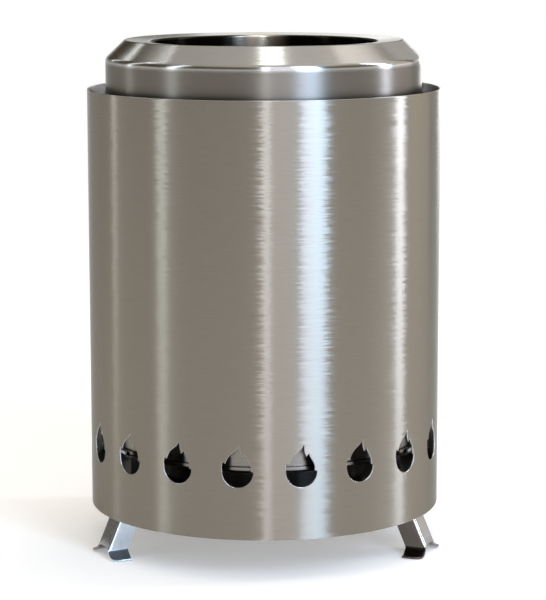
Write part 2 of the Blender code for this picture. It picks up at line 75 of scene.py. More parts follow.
def makeCamera(view):
    data = bpy.data.cameras.new("camera")
    data.lens = view["lens"]
    data.sensor_width = view["sensor"]
    data.shift_x = view["shiftX"]
    data.clip_start = view["near"]
    data.clip_end = view["far"]
    camera = bpy.data.objects.new("camera", data)
    bpy.context.scene.collection.objects.link(camera)
    turn = Matrix.Rotation(radians(view["azimuth"]), 4, "Z")
    place = Matrix.Translation((0, -view["distance"], view["height"]))
    tilt = Matrix.Rotation(radians(90 - view["pitch"]), 4, "X")
    roll = Matrix.Rotation(radians(view["roll"]), 4, "Z")
    camera.matrix_world = turn @ place @ tilt @ roll
    bpy.context.scene.camera = camera


# Studio: a pale floor that fills the picture, a grey room above it and tall soft lamps round the stove

floorLook = {
    "radius": 40.0,
    "sides": 96,
    "drop": 0.0002,         # below the soles, so that the faces don't meet
    "colour": (0.84, 0.80, 0.74),
    "glow": (0.285, 0.285, 0.285),      # seen by camera and reflections, it brings the floor up to white
    "farStart": 0.5,        # from here outwards the floor turns into an even white backdrop
    "farEnd": 1.5,
}

roomLook = {
    "horizon": (0.92, 0.92, 0.92),
    "middle": (0.17, 0.14, 0.09),
    "top": (0.86, 0.83, 0.79),
    "horizonEnd": 0.05,         # sine of the elevation where the pale horizon ends
    "middleStart": 0.16,
    "middleEnd": 0.50,
    "topStart": 0.80,
    "skew": 0.33,               # how much brighter the room is to the right
}

# Each lamp: azimuth of its middle, counted from the camera, and its width in degrees, the heights of its
# foot and its top, its level and its colour
lampRing = {
    "distance": 2.2,
    "lamps": {
        "keyStrip": (35.5, 9.0, 0.0, 2.4, 12.5, (0.46, 0.68, 1.0)),
        "keyEdge": (27.0, 8.0, 0.0, 2.4, 9.6, (0.57, 0.71, 1.0)),
        "fillWide": (13.0, 14.0, 0.0, 2.4, 2.0, (0.80, 0.84, 1.0)),
        "centreStrip": (1.4, 4.5, 0.0, 2.4, 8.0, (0.76, 0.84, 1.0)),
        "rightStrip": (97.0, 7.5, 0.0, 2.4, 13.3, (0.70, 0.79, 1.0)),
        "rightFill": (120.0, 26.0, 0.0, 4.2, 0.8, (1.0, 0.93, 0.90)),
        "leftStrip": (-68.0, 7.0, 0.0, 2.4, 4.0, (0.78, 0.90, 1.0)),
        "leftEdge": (-111.0, 4.0, 0.0, 2.4, 3.4, (0.86, 0.94, 1.0)),
        "leftHigh": (-118.5, 3.0, 2.0, 3.0, 8.0, (0.92, 0.97, 1.0)),
        "leftRear": (-143.5, 3.5, 0.6, 1.6, 4.5, (0.92, 0.97, 1.0)),
        "rightRear": (152.0, 24.0, 0.3, 2.2, 0.9, (0.98, 0.98, 1.0)),
        "rearGlow": (178.5, 7.0, 0.45, 1.15, 2.0, (1.0, 1.0, 0.99)),
        "rightLow": (160.0, 16.0, 0.05, 0.45, 3.0, (1.0, 1.0, 1.0)),
    },
}

overheadLamp = {
    "across": 0.11, "height": 2.3, "width": 0.32, "length": 1.0, "level": 3.4,
    "colour": (1.0, 1.0, 0.98),
}


def addNode(tree, kind, inputs=None, **settings):
    node = tree.nodes.new(kind)
    for key, value in settings.items():
        setattr(node, key, value)
    for key, value in (inputs or {}).items():
        if isinstance(value, bpy.types.NodeSocket):
            tree.links.new(value, node.inputs[key])
        else:
            node.inputs[key].default_value = value
    return node


def mathNode(tree, operation, first, second=0.0, clamp=False):
    return addNode(
        tree, "ShaderNodeMath", {0: first, 1: second}, operation=operation, use_clamp=clamp,
    ).outputs[0]


def makeFloor(look):
    bpy.ops.mesh.primitive_circle_add(
        vertices=look["sides"], radius=look["radius"], fill_type="NGON", location=(0, 0, -look["drop"]),
    )
    floor = bpy.context.object
    floor.name = "studioFloor"
    material = bpy.data.materials.new("paleFloor")
    material.use_nodes = True
    tree = material.node_tree
    tree.nodes.clear()
    path = addNode(tree, "ShaderNodeLightPath")
    seen = mathNode(tree, "ADD", path.outputs["Is Camera Ray"], path.outputs["Is Glossy Ray"])
    seen = mathNode(tree, "ADD", seen, path.outputs["Is Transmission Ray"], clamp=True)
    place = addNode(tree, "ShaderNodeTexCoord").outputs["Object"]
    reach = addNode(tree, "ShaderNodeVectorMath", {0: place}, operation="LENGTH").outputs["Value"]
    far = addNode(tree, "ShaderNodeMapRange", {
        0: reach, 1: look["farStart"], 2: look["farEnd"],
    }, interpolation_type="SMOOTHSTEP").outputs[0]
    matt = addNode(tree, "ShaderNodeBsdfDiffuse", {"Color": (*look["colour"], 1)})
    shine = addNode(tree, "ShaderNodeEmission", {"Color": (*look["glow"], 1), "Strength": seen})
    near = addNode(tree, "ShaderNodeAddShader", {0: matt.outputs[0], 1: shine.outputs[0]})
    white = addNode(tree, "ShaderNodeEmission", {"Strength": seen})
    both = addNode(tree, "ShaderNodeMixShader", {0: far, 1: near.outputs[0], 2: white.outputs[0]})
    out = addNode(tree, "ShaderNodeOutputMaterial")
    tree.links.new(both.outputs[0], out.inputs["Surface"])
    floor.data.materials.append(material)


def makeRoom(look):
    world = bpy.data.worlds.new("studioRoom")
    bpy.context.scene.world = world
    world.use_nodes = True
    tree = world.node_tree
    tree.nodes.clear()
    place = addNode(tree, "ShaderNodeTexCoord").outputs["Generated"]
    across, _, height = addNode(tree, "ShaderNodeSeparateXYZ", {0: place}).outputs
    ramp = addNode(tree, "ShaderNodeValToRGB", {0: height})
    level = mathNode(tree, "ADD", mathNode(tree, "MULTIPLY", across, look["skew"]), 1.0)
    stops = [
        (look["horizonEnd"], look["horizon"]),
        (look["middleStart"], look["middle"]),
        (look["middleEnd"], look["middle"]),
        (look["topStart"], look["top"]),
    ]
    while len(ramp.color_ramp.elements) < len(stops):
        ramp.color_ramp.elements.new(0.5)
    for stop, (position, colour) in zip(ramp.color_ramp.elements, stops):
        stop.position = position
        stop.color = (*colour, 1)
    light = addNode(tree, "ShaderNodeBackground", {"Color": ramp.outputs[0], "Strength": level})
    out = addNode(tree, "ShaderNodeOutputWorld")
    tree.links.new(light.outputs[0], out.inputs["Surface"])


def addLamp(name, width, height, level, colour, where, aim):
    data = bpy.data.lights.new(name, "AREA")
    data.shape = "RECTANGLE"
    data.size = width
    data.size_y = height
    data.color = colour
    data.energy = level * pi * width * height       # watts for a surface that shines at that level
    lamp = bpy.data.objects.new(name, data)
    bpy.context.scene.collection.objects.link(lamp)
    lamp.location = where
    lamp.rotation_euler = (Vector(aim) - Vector(where)).to_track_quat("-Z", "Y").to_euler()
    lamp.visible_camera = False


def makeLamps(ring, overhead, turn):
    reach = ring["distance"]
    for name, (azimuth, span, foot, top, level, colour) in ring["lamps"].items():
        angle = radians(azimuth + turn)
        width = 2 * reach * tan(radians(span) / 2)
        middle = (foot + top) / 2
        where = (reach * sin(angle), -reach * cos(angle), middle)
        addLamp(name, width, top - foot, level, colour, where, (0, 0, middle))
    where = Vector((overhead["across"], 0, overhead["height"]))
    addLamp(
        "overhead", overhead["width"], overhead["length"], overhead["level"], overhead["colour"],
        where, where - Vector((0, 0, 1)),
    )


# Steel: fine lines run round the stove, so they draw a lamp's reflection out up and down only

noiseRange = (0.25, 0.75)       # nearly all values of a noise texture lie between these


def newMetal(name):
    material = bpy.data.materials.new(name)
    material.use_nodes = True
    tree = material.node_tree
    shader = tree.nodes["Principled BSDF"]
    shader.inputs["Metallic"].default_value = 1.0
    return material, tree, shader


def aroundTheStove(tree):
    place = addNode(tree, "ShaderNodeTexCoord").outputs["Object"]
    x, y, z = addNode(tree, "ShaderNodeSeparateXYZ", {0: place}).outputs
    angle = mathNode(tree, "ARCTAN2", x, mathNode(tree, "MULTIPLY", y, -1.0))
    flat = addNode(tree, "ShaderNodeCombineXYZ", {0: x, 1: y}).outputs[0]
    reach = addNode(tree, "ShaderNodeVectorMath", {0: flat}, operation="LENGTH").outputs["Value"]
    return place, angle, reach, z


# Noise drawn out along one kind of a finish's lines: its hair, its streaks or its fray
def lineNoise(tree, angle, across, look, kind):
    along = mathNode(tree, "MULTIPLY", angle, look["reach"] / look[kind + "Length"])
    over = mathNode(tree, "MULTIPLY", across, 1 / look[kind + "Pitch"])
    vector = addNode(tree, "ShaderNodeCombineXYZ", {0: along, 1: over}).outputs[0]
    return addNode(tree, "ShaderNodeTexNoise", {
        "Vector": vector, "Scale": 1.0, "Detail": look[kind + "Detail"], "Roughness": look["lineGrain"],
    }, noise_dimensions="2D").outputs[0]


def vary(tree, noise, middle, swing):
    low, high = noiseRange
    return addNode(tree, "ShaderNodeMapRange", {
        0: noise, 1: low, 2: high, 3: middle - swing, 4: middle + swing,
    }).outputs[0]


def blend(tree, value, low, high, below, above):
    share = addNode(tree, "ShaderNodeMapRange", {
        0: value, 1: low, 2: high,
    }, interpolation_type="SMOOTHSTEP").outputs[0]
    mix = addNode(tree, "ShaderNodeMix", {0: share}, data_type="RGBA")
    for socket, colour in ((mix.inputs[6], below), (mix.inputs[7], above)):
        if isinstance(colour, bpy.types.NodeSocket):
            tree.links.new(colour, socket)
        else:
            socket.default_value = (*colour, 1)
    return mix.outputs[2]


def shadeColour(tree, shader, tone, shade):
    grey = addNode(tree, "ShaderNodeCombineXYZ", {0: shade, 1: shade, 2: shade}).outputs[0]
    colour = addNode(tree, "ShaderNodeVectorMath", {0: tone, 1: grey}, operation="MULTIPLY")
    tree.links.new(colour.outputs[0], shader.inputs["Base Color"])


# The tone by place: a finish can have a painted lit tone above some height, and another tone on cut edges
# and inner faces, paler on the shell as a painted highlight, dark in the mouth as painted shade, with a
# painted reflection patch at the back
def steelTone(tree, look, angle, reach, height):
    tone = look["colour"]
    # A painted lit tone above some height
    if look.get("paintedLitTone"):
        tone = blend(tree, height, *look["paintedLitAndPolishAt"], tone, look["paintedLitTone"])
    # Cut edges and inner faces: a painted highlight on the shell, painted shade in the mouth, with a
    # painted reflection patch at the back
    if look.get("inside"):
        inside = look["inside"]
        if look.get("paintedReflection"):
            turned = mathNode(tree, "ABSOLUTE", angle)
            inside = blend(tree, turned, *look["paintedReflectionAt"], inside, look["paintedReflection"])
        tone = blend(tree, reach, *look["paintedLightAt"], inside, tone)
    return tone


def brushedSteel(name, look):
    material, tree, shader = newMetal(name)
    shader.inputs["Specular Tint"].default_value = (*[look["edgeTint"]] * 3, 1)
    shader.inputs["Anisotropic"].default_value = look["stretch"]
    shader.inputs["Anisotropic Rotation"].default_value = look["stretchTurn"]
    tangent = addNode(tree, "ShaderNodeTangent", direction_type="RADIAL", axis="Z").outputs[0]
    tree.links.new(tangent, shader.inputs["Tangent"])

    place, angle, reach, height = aroundTheStove(tree)
    across = mathNode(tree, "SUBTRACT", height, reach)
    hair = lineNoise(tree, angle, across, look, "hair")
    streak = lineNoise(tree, angle, across, look, "streak")
    smudge = addNode(tree, "ShaderNodeTexNoise", {
        "Vector": place, "Scale": 1 / look["smudgeSize"], "Detail": look["smudgeDetail"],
    }).outputs[0]

    # Colour: darker and paler lines, broad faint smudges, and a darker seam at the back
    lines = vary(tree, hair, 1, look["hairTint"])
    clouds = vary(tree, smudge, 1, look["smudgeTint"])
    shade = mathNode(tree, "MULTIPLY", lines, clouds)
    if look.get("seam"):
        turned = mathNode(tree, "ABSOLUTE", angle)
        inSeam = addNode(tree, "ShaderNodeMapRange", {
            0: turned, 1: pi - look["seam"] / look["reach"], 2: pi, 3: 1.0, 4: look["seamTint"],
        }, interpolation_type="SMOOTHSTEP").outputs[0]
        shade = mathNode(tree, "MULTIPLY", shade, inSeam)
    shadeColour(tree, shader, steelTone(tree, look, angle, reach, height), shade)

    # Roughness follows the lines and the smudges
    rough = vary(tree, hair, look["roughness"], look["roughHair"])
    rough = mathNode(tree, "ADD", rough, vary(tree, smudge, 0, look["roughSmudge"]))
    if look.get("paintedLitTone"):
        low, high = look["paintedLitAndPolishAt"]
        polish = addNode(tree, "ShaderNodeMapRange", {
            0: height, 1: low, 2: high, 3: 1.0, 4: look["polish"],
        }).outputs[0]
        rough = mathNode(tree, "MULTIPLY", rough, polish)
    tree.links.new(rough, shader.inputs["Roughness"])

    # Relief: long streaks under fine hair. Lines that lean sideways fray the edges of reflections.
    deep = addNode(tree, "ShaderNodeBump", {"Height": streak, "Distance": look["streakDepth"]})
    fine = addNode(tree, "ShaderNodeBump", {
        "Height": hair, "Distance": look["hairDepth"], "Normal": deep.outputs[0],
    }).outputs[0]
    lean = lineNoise(tree, angle, across, look, "fray")
    sideways = addNode(tree, "ShaderNodeVectorMath", {
        0: tangent, 3: vary(tree, lean, 0, look["fray"]),
    }, operation="SCALE").outputs[0]
    normal = addNode(tree, "ShaderNodeVectorMath", {0: fine, 1: sideways}, operation="ADD").outputs[0]
    normal = addNode(tree, "ShaderNodeVectorMath", {0: normal}, operation="NORMALIZE").outputs[0]
    tree.links.new(normal, shader.inputs["Normal"])
    return material


# Lengths, pitches, depths and sizes are in metres, and a tint is how far the colour varies
shellFinish = {
    "colour": (0.255, 0.229, 0.190),
    "edgeTint": 0.55,           # shine where the steel is seen edge-on
    "roughness": 0.30, "roughHair": 0.02, "roughSmudge": 0.012,
    "stretch": 1.0,             # how far the lines draw reflections out
    "stretchTurn": 0.25,        # a quarter turn, which is up and down
    "reach": 0.09,              # radius at which the lines have their length
    "lineGrain": 0.6,
    "hairLength": 0.012, "hairPitch": 0.0005, "hairDepth": 0.000006, "hairDetail": 3.0, "hairTint": 0.05,
    "streakLength": 0.012, "streakPitch": 0.0016, "streakDepth": 0.000020, "streakDetail": 2.0,
    "frayLength": 0.012, "frayPitch": 0.0006, "fray": 0.024, "frayDetail": 2.0,
    "smudgeSize": 0.05, "smudgeTint": 0.02, "smudgeDetail": 4.0,
    "seam": 0.0012, "seamTint": 0.72,
    "paintedLightAt": (0.08992, 0.08996), "inside": (0.58, 0.575, 0.56),      # bare cut edges and inner face, paler as a painted highlight along the rims and vent outlines
}

# The neck is painted darker than the shell as shade; the mouth's inner face is painted shade, with a
# painted reflection patch at the back
ringFinish = dict(
    shellFinish,
    colour=(0.165, 0.149, 0.127), roughness=0.30, roughHair=0.015, stretch=0.65, reach=0.08, seam=0.0,
    hairDepth=0.000003, hairTint=0.04, streakDepth=0.000006, streakLength=0.02, fray=0.010,
    smudgeTint=0.05, smudgeSize=0.02,
    paintedLightAt=(0.0578, 0.0590), inside=(0.012, 0.010, 0.007),
    paintedReflectionAt=(pi - 0.29, pi - 0.05), paintedReflection=(0.52, 0.46, 0.37),
    # A painted lit tone on the cone above the knuckle, where the steel is also polished
    paintedLitAndPolishAt=(0.2468, 0.2492), paintedLitTone=(0.41, 0.40, 0.375), polish=0.63,
)

fireboxFinish = dict(
    shellFinish,
    colour=(0.215, 0.20, 0.178), roughness=0.24, stretch=0.8, reach=0.079, smudgeTint=0.06,
    seam=0.0010, seamTint=0.8, inside=None,
)

plainFinish = dict(
    shellFinish,
    colour=(0.25, 0.24, 0.22), roughness=0.32, roughHair=0.03, stretch=0.5, hairDepth=0.000003,
    streakDepth=0.000006, seam=0.0, inside=None, fray=0.006,
)

grateFinish = dict(
    plainFinish,
    colour=(0.20, 0.19, 0.18), roughness=0.45, stretch=0.2, smudgeTint=0.12, smudgeSize=0.02,
)


# Strip steel of the small bent parts: rolled finish with faint rolling lines and handling marks
def stripSteel(name, look):
    material, tree, shader = newMetal(name)
    place = addNode(tree, "ShaderNodeTexCoord").outputs["Object"]
    stretched = addNode(tree, "ShaderNodeMapping", {"Vector": place, "Scale": look["lineScale"]})
    lines = addNode(tree, "ShaderNodeTexNoise", {
        "Vector": stretched.outputs[0], "Scale": look["lineCount"], "Detail": look["lineDetail"],
    }).outputs[0]
    marks = addNode(tree, "ShaderNodeTexNoise", {
        "Vector": place, "Scale": 1 / look["markSize"], "Detail": look["markDetail"],
        "Roughness": look["markGrain"],
    }).outputs[0]

    tone = look["colour"]
    # Painted reflections and painted shade: bands of tone across the leg, by how far a point lies towards
    # the stove's front
    if look.get("paintedLightBands"):
        azimuth = radians(look["azimuth"])
        front = -1 if azimuth > 0 else 1
        side = addNode(tree, "ShaderNodeVectorMath", {
            0: place, 1: (front * cos(azimuth), front * sin(azimuth), 0.0),
        }, operation="DOT_PRODUCT").outputs["Value"]
        for low, high, beyond in look["paintedLightBands"]:
            tone = blend(tree, side, low, high, tone, beyond)
    shade = mathNode(
        tree, "MULTIPLY", vary(tree, lines, 1, look["lineTint"]), vary(tree, marks, 1, look["markTint"]),
    )
    shadeColour(tree, shader, tone, shade)

    rough = vary(tree, marks, look["roughness"], look["roughMarks"])
    tree.links.new(rough, shader.inputs["Roughness"])
    relief = addNode(tree, "ShaderNodeBump", {"Height": lines, "Distance": look["lineDepth"]})
    tree.links.new(relief.outputs[0], shader.inputs["Normal"])
    return material


legFinish = {
    "colour": (0.52, 0.535, 0.55), "roughness": 0.20, "roughMarks": 0.05,
    "lineScale": (1.0, 1.0, 0.15), "lineCount": 900.0, "lineDetail": 3.0, "lineTint": 0.03,
    "lineDepth": 0.000004,
    "markSize": 0.006, "markDetail": 5.0, "markGrain": 0.65, "markTint": 0.05,
}

# The front legs' faces carry painted reflections and painted shade on dark webs: on the left leg a pale
# front flange, on the right leg a pale bend and a dark front flange. Each band: where the change starts,
# counted from the leg's middle towards the stove's front, where it ends, and the tone beyond it.
leftLegPaintedLight = dict(
    legFinish,
    colour=(0.22, 0.215, 0.21), azimuth=-64.4,
    paintedLightBands=((0.0058, 0.0065, (0.60, 0.67, 0.75)),),
)

rightLegPaintedLight = dict(
    legFinish,
    colour=(0.23, 0.227, 0.22), azimuth=64.4,
    paintedLightBands=((0.0050, 0.0053, (0.66, 0.62, 0.56)), (0.0062, 0.0066, (0.115, 0.101, 0.086))),
)

bracketFinish = dict(legFinish, colour=(0.40, 0.39, 0.37), roughness=0.30)

rivetFinish = dict(legFinish, colour=(0.46, 0.46, 0.45), roughness=0.26, lineScale=(1.0, 1.0, 1.0))


# Meshes with exact normals

roundSteps = 192                # round a turned piece
sharpAngle = radians(38)        # from here on, a bend in a hole's outline is a corner


def addObject(name, mesh):
    item = bpy.data.objects.new(name, mesh)
    bpy.context.scene.collection.objects.link(item)
    return item


def finishMesh(name, verts, faces, normals, material):
    mesh = bpy.data.meshes.new(name)
    mesh.from_pydata(verts, [], faces)
    mesh.shade_smooth()
    mesh.normals_split_custom_set(normals)
    mesh.materials.append(material)
    return addObject(name, mesh)


def settle(item, body, cadNode):
    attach(item, body)
    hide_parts(cadNode)


# A closed section of corners (radius, height, rounding), as points with the normals before and after
def roundSection(corners, steps):
    area = sum(a[0] * b[1] - b[0] * a[1] for a, b in zip(corners, corners[1:] + corners[:1]))
    if area < 0:
        corners = corners[::-1]
    points = []
    for index, (x, y, rounding) in enumerate(corners):
        corner = Vector((x, y))
        before = (corner - Vector(corners[index - 1][:2])).normalized()
        after = (Vector(corners[(index + 1) % len(corners)][:2]) - corner).normalized()
        normalBefore = Vector((before.y, -before.x))
        normalAfter = Vector((after.y, -after.x))
        if rounding <= 0:
            points.append((corner, normalBefore, normalAfter))
            continue
        bend = before.angle_signed(after)       # clockwise is positive
        start = corner - before * (rounding * tan(abs(bend) / 2))
        side = 1 if bend < 0 else -1
        centre = start - normalBefore * (rounding * side)
        for step in range(steps + 1):
            turn = Matrix.Rotation(-bend * step / steps, 2)
            normal = turn @ normalBefore
            points.append((centre + normal * (rounding * side), normal, normal))
    return points


# A bent sheet's closed section: the path is its outer face, and the sheet lies on the path's left
def sheetSection(path, shape):
    thickness, edge = shape["thickness"], shape["edge"]
    corners = [Vector(point[:2]) for point in path]
    inner = []
    for index, corner in enumerate(corners):
        before = (corner - corners[index - 1]).normalized() if index else None
        after = (corners[index + 1] - corner).normalized() if index + 1 < len(corners) else None
        before = before or after
        after = after or before
        leftBefore = Vector((-before.y, before.x))
        shift = leftBefore + Vector((-after.y, after.x))
        shift *= thickness / shift.dot(leftBefore)
        turnsLeft = before.x * after.y - before.y * after.x > 0
        rounding = path[index][2]
        if rounding > 0:
            rounding = max(rounding + (-thickness if turnsLeft else thickness), edge)
        inner.append((corner.x + shift.x, corner.y + shift.y, rounding))
    closed = [tuple(point) for point in path] + inner[::-1]
    rounded = []
    for index, (x, y, rounding) in enumerate(closed):
        isEnd = index in (0, len(path) - 1, len(path), len(closed) - 1)
        rounded.append((x, y, (edge if x > tiny else 0.0) if isEnd else rounding))
    return roundSection(rounded, shape["bendSteps"])


def turnedPiece(name, section, material, steps=roundSteps):
    verts = []
    rings = []
    for point, _, _ in section:
        if point.x < tiny:
            rings.append([len(verts)] * steps)
            verts.append((0, 0, point.y))
            continue
        rings.append(list(range(len(verts), len(verts) + steps)))
        for index in range(steps):
            angle = 2 * pi * index / steps
            verts.append((point.x * sin(angle), -point.x * cos(angle), point.y))
    faces = []
    normals = []
    for index, (point, _, normal) in enumerate(section):
        follow = (index + 1) % len(section)
        nextPoint, nextNormal, _ = section[follow]
        if point.x < tiny and nextPoint.x < tiny:
            continue
        for step in range(steps):
            onward = (step + 1) % steps
            corners = []
            for ring, turn, lean in (
                (index, step, normal), (index, onward, normal),
                (follow, onward, nextNormal), (follow, step, nextNormal),
            ):
                vertex = rings[ring][turn]
                if vertex not in [known[0] for known in corners]:
                    corners.append((vertex, turn, lean))
            faces.append([vertex for vertex, _, _ in corners])
            for _, turn, lean in corners:
                angle = 2 * pi * turn / steps
                normals.append((lean.x * sin(angle), -lean.x * cos(angle), lean.y))
    return finishMesh(name, verts, faces, normals, material)


def outlineNormals(outline):
    edges = [(after - before).normalized() for before, after in zip(outline, outline[1:] + outline[:1])]
    pairs = []
    for index in range(len(outline)):
        before, after = edges[index - 1], edges[index]
        normalBefore = Vector((before.y, -before.x))
        normalAfter = Vector((after.y, -after.x))
        if before.angle(after) < sharpAngle:
            normalBefore = normalAfter = (normalBefore + normalAfter).normalized()
        pairs.append((normalBefore, normalAfter))
    return pairs


def insideOutline(point, outline):
    inside = False
    for a, b in zip(outline, outline[1:] + outline[:1]):
        if (a.y > point.y) != (b.y > point.y):
            if point.x < a.x + (point.y - a.y) * (b.x - a.x) / (b.y - a.y):
                inside = not inside
    return inside


# One sector of a rolled sheet, laid flat: its points (sideways, height), the tiles between them, the rim
# of the hole, the bottom row, the top row, and the left-hand point that each right-hand one stands for in
# the next sector
def flatSector(sheet, row, xs, outline, mouth):
    low, high = sheet["low"] + sheet["edge"], sheet["high"] - sheet["edge"]
    bandLow = row["height"] + min(point.y for point in outline) - row["margin"]
    bandHigh = row["height"] + max(point.y for point in outline) + row["margin"]
    zs = [low, bandLow, bandHigh] + [
        bandHigh + (high - bandHigh) * step / row["upperRows"] for step in range(1, row["upperRows"] + 1)
    ]
    inBand = [
        bandLow + (bandHigh - bandLow) * step / row["sideRows"] for step in range(1, row["sideRows"])
    ]
    flat = []

    def addFlat(x, z):
        flat.append(Vector((x, z)))
        return len(flat) - 1

    grid = [[addFlat(x, z) for x in xs] for z in zs]
    sides = [(addFlat(xs[0], z), addFlat(xs[-1], z)) for z in inBand]
    rimStart = len(flat)
    rim = [addFlat(point.x, point.y + row["height"]) for point in mouth]
    for z in inBand:
        for x in xs[1:-1]:
            spot = Vector((x, z - row["height"]))
            nearest = min((spot - point).length for point in mouth)
            if nearest >= row["margin"] / 2 and not insideOutline(spot, mouth):
                addFlat(x, z)

    # Plain rows below and above the band, and triangles in it, which leave out the hole
    tiles = []
    for lower, upper in [grid[:2], *zip(grid[2:], grid[3:])]:
        for column in range(len(xs) - 1):
            tiles.append([lower[column], lower[column + 1], upper[column + 1], upper[column]])
    banded = grid[1] + grid[2] + [vertex for pair in sides for vertex in pair]
    banded += range(rimStart, len(flat))
    local = {vertex: index for index, vertex in enumerate(banded)}
    points, _, triangles, origins, _, _ = delaunay_2d_cdt(
        [flat[vertex] for vertex in banded], [], [[local[vertex] for vertex in rim]], 0, tiny,
    )
    hole = [flat[vertex] for vertex in rim]
    for triangle in triangles:
        centre = sum((points[corner] for corner in triangle), Vector((0, 0))) / len(triangle)
        if not insideOutline(centre, hole):
            tiles.append([banded[origins[corner][0]] for corner in triangle])

    shared = {level[-1]: level[0] for level in grid}
    shared.update({right: left for left, right in sides})
    return flat, tiles, rim, grid[0], grid[-1], shared


# Across a softly broken edge, from the outer to the inner face: the distance to the cut, the radius, and
# the normal's shares outwards and along the sheet
def edgeProfile(sheet, steps):
    radius, edge = sheet["radius"], sheet["edge"]
    inner = radius - sheet["thickness"]
    leans = [pi / 2 * step / steps for step in range(steps + 1)]
    profile = []
    for lean in leans:
        profile.append((edge * (1 - sin(lean)), radius - edge * (1 - cos(lean)), cos(lean), sin(lean)))
    for lean in leans[::-1]:
        profile.append((edge * (1 - sin(lean)), inner + edge * (1 - cos(lean)), -cos(lean), sin(lean)))
    return profile


# A rolled sheet with a row of holes: one sector is cut flat, then repeated round the stove
def holedCylinder(name, sheet, row, outline, material):
    radius, count, columns = sheet["radius"], row["count"], row["columns"]
    half = pi * radius / count
    xs = [half * (2 * column / columns - 1) for column in range(columns + 1)]
    outward = outlineNormals(outline)       # away from the hole, as the outline runs anticlockwise
    shifts = [(a + b).normalized() for a, b in outward]
    mouth = [point + shift * sheet["edge"] for point, shift in zip(outline, shifts)]
    flat, tiles, rim, bottomRow, topRow, shared = flatSector(sheet, row, xs, outline, mouth)
    kept = [vertex for vertex in range(len(flat)) if vertex not in shared]
    slots = {vertex: index for index, vertex in enumerate(kept)}
    verts = []
    faces = []
    normals = []

    def bearing(x, sector):
        return row["turn"] + 2 * pi * sector / count + x / radius

    def onCylinder(x, z, reach, sector):
        angle = bearing(x, sector)
        return (reach * sin(angle), -reach * cos(angle), z)

    def turned(vector, x, sector):
        angle = bearing(x, sector)
        side, out, up = vector
        return (side * cos(angle) + out * sin(angle), side * sin(angle) - out * cos(angle), up)

    def layer(reach):
        start = len(verts)
        for sector in range(count):
            verts.extend(onCylinder(*flat[vertex], reach, sector) for vertex in kept)
        return start

    def layerVertex(start, vertex, sector):
        if vertex in shared:
            vertex = shared[vertex]
            sector = (sector + 1) % count
        return start + sector * len(kept) + slots[vertex]

    # Faces between two rings, each a list of vertices and a list of their normals before and after
    def strip(upper, lower, xOf, sector):
        (above, leansAbove), (below, leansBelow) = upper, lower
        for index in range(len(above) - 1):
            faces.append([above[index], above[index + 1], below[index + 1], below[index]])
            for vector, x in (
                (leansAbove[index][1], xOf[index]), (leansAbove[index + 1][0], xOf[index + 1]),
                (leansBelow[index + 1][0], xOf[index + 1]), (leansBelow[index][1], xOf[index]),
            ):
                normals.append(turned(vector, x, sector))

    outer = layer(radius)
    inner = layer(radius - sheet["thickness"])
    for start, out in ((outer, 1), (inner, -1)):
        for sector in range(count):
            for tile in tiles:
                order = tile if out > 0 else tile[::-1]
                faces.append([layerVertex(start, vertex, sector) for vertex in order])
                normals.extend(turned((0, out, 0), flat[vertex].x, sector) for vertex in order)

    # The holes' walls
    profile = edgeProfile(sheet, row["edgeSteps"])
    starts = {0: outer, len(profile) - 1: inner}
    loop = [*range(len(outline)), 0]
    for sector in range(count):
        rings = []
        for place, (offset, reach, out, wall) in enumerate(profile):
            if place in starts:
                ring = [layerVertex(starts[place], vertex, sector) for vertex in rim]
            else:
                ring = range(len(verts), len(verts) + len(outline))
                for point, shift in zip(outline, shifts):
                    spot = point + shift * offset
                    verts.append(onCylinder(spot.x, spot.y + row["height"], reach, sector))
            leans = [[(-normal.x * wall, out, -normal.y * wall) for normal in pair] for pair in outward]
            rings.append(([ring[index] for index in loop], [leans[index] for index in loop]))
        for upper, lower in zip(rings, rings[1:]):
            strip(upper, lower, [outline[index].x for index in loop], sector)

    # The sheet's top and bottom edges
    for edgeRow, height, sign in ((topRow, sheet["high"], 1), (bottomRow, sheet["low"], -1)):
        wholes = {}
        for place, (offset, reach, _, _) in enumerate(profile):
            if place in starts:
                continue
            wholes[place] = range(len(verts), len(verts) + columns * count)
            for sector in range(count):
                verts.extend(onCylinder(x, height - sign * offset, reach, sector) for x in xs[:-1])
        for sector in range(count):
            rings = []
            for place, (_, _, out, wall) in enumerate(profile):
                if place in starts:
                    ring = [layerVertex(starts[place], vertex, sector) for vertex in edgeRow]
                else:
                    whole, first = wholes[place], sector * columns
                    ring = [whole[(first + column) % len(whole)] for column in range(columns + 1)]
                rings.append((ring, [[(0, out, sign * wall)] * 2] * (columns + 1)))
            for pair in zip(rings, rings[1:]):
                upper, lower = pair if sign > 0 else pair[::-1]
                strip(upper, lower, xs, sector)
    return finishMesh(name, verts, faces, normals, material)


# Outer shell with its row of flame-shaped vents

shellShape = {"thickness": 0.0008, "edge": 0.00032}

ventRow = {
    "count": 18, "turn": radians(10), "belly": 0.0077, "rise": 0.0340,
    "columns": 16, "sideRows": 10, "upperRows": 4, "margin": 0.0030, "edgeSteps": 2,
    "curveSteps": 9, "bellySteps": 30,
}

# The flame in units of its belly's radius: its corners, and the handles of the curves between them
flameShape = {
    "tip": (0.15, 1.74),
    "tipToRightNotch": ((0.13, 1.47), (0.17, 1.16)),
    "rightNotch": (0.30, 0.96),
    "rightTip": (0.48, 1.16),
    "rightTipToShoulder": ((0.47, 0.86), (0.94, 0.60)),
    "shoulder": (0.84, 0.06),
    "bellyToLeftTip": ((-1.05, 0.26), (-1.01, 0.44)),
    "leftTip": (-0.97, 0.64),
    "leftNotch": (-0.80, 0.52),
    "leftNotchToTip": ((-0.56, 1.30), (-0.05, 1.22)),
}


def curve(start, first, second, end, steps):
    points = []
    for step in range(steps):
        share = step / steps
        rest = 1 - share
        points.append(Vector((
            rest ** 3 * start[axis] + 3 * rest ** 2 * share * first[axis]
            + 3 * rest * share ** 2 * second[axis] + share ** 3 * end[axis]
            for axis in (0, 1)
        )))
    return points


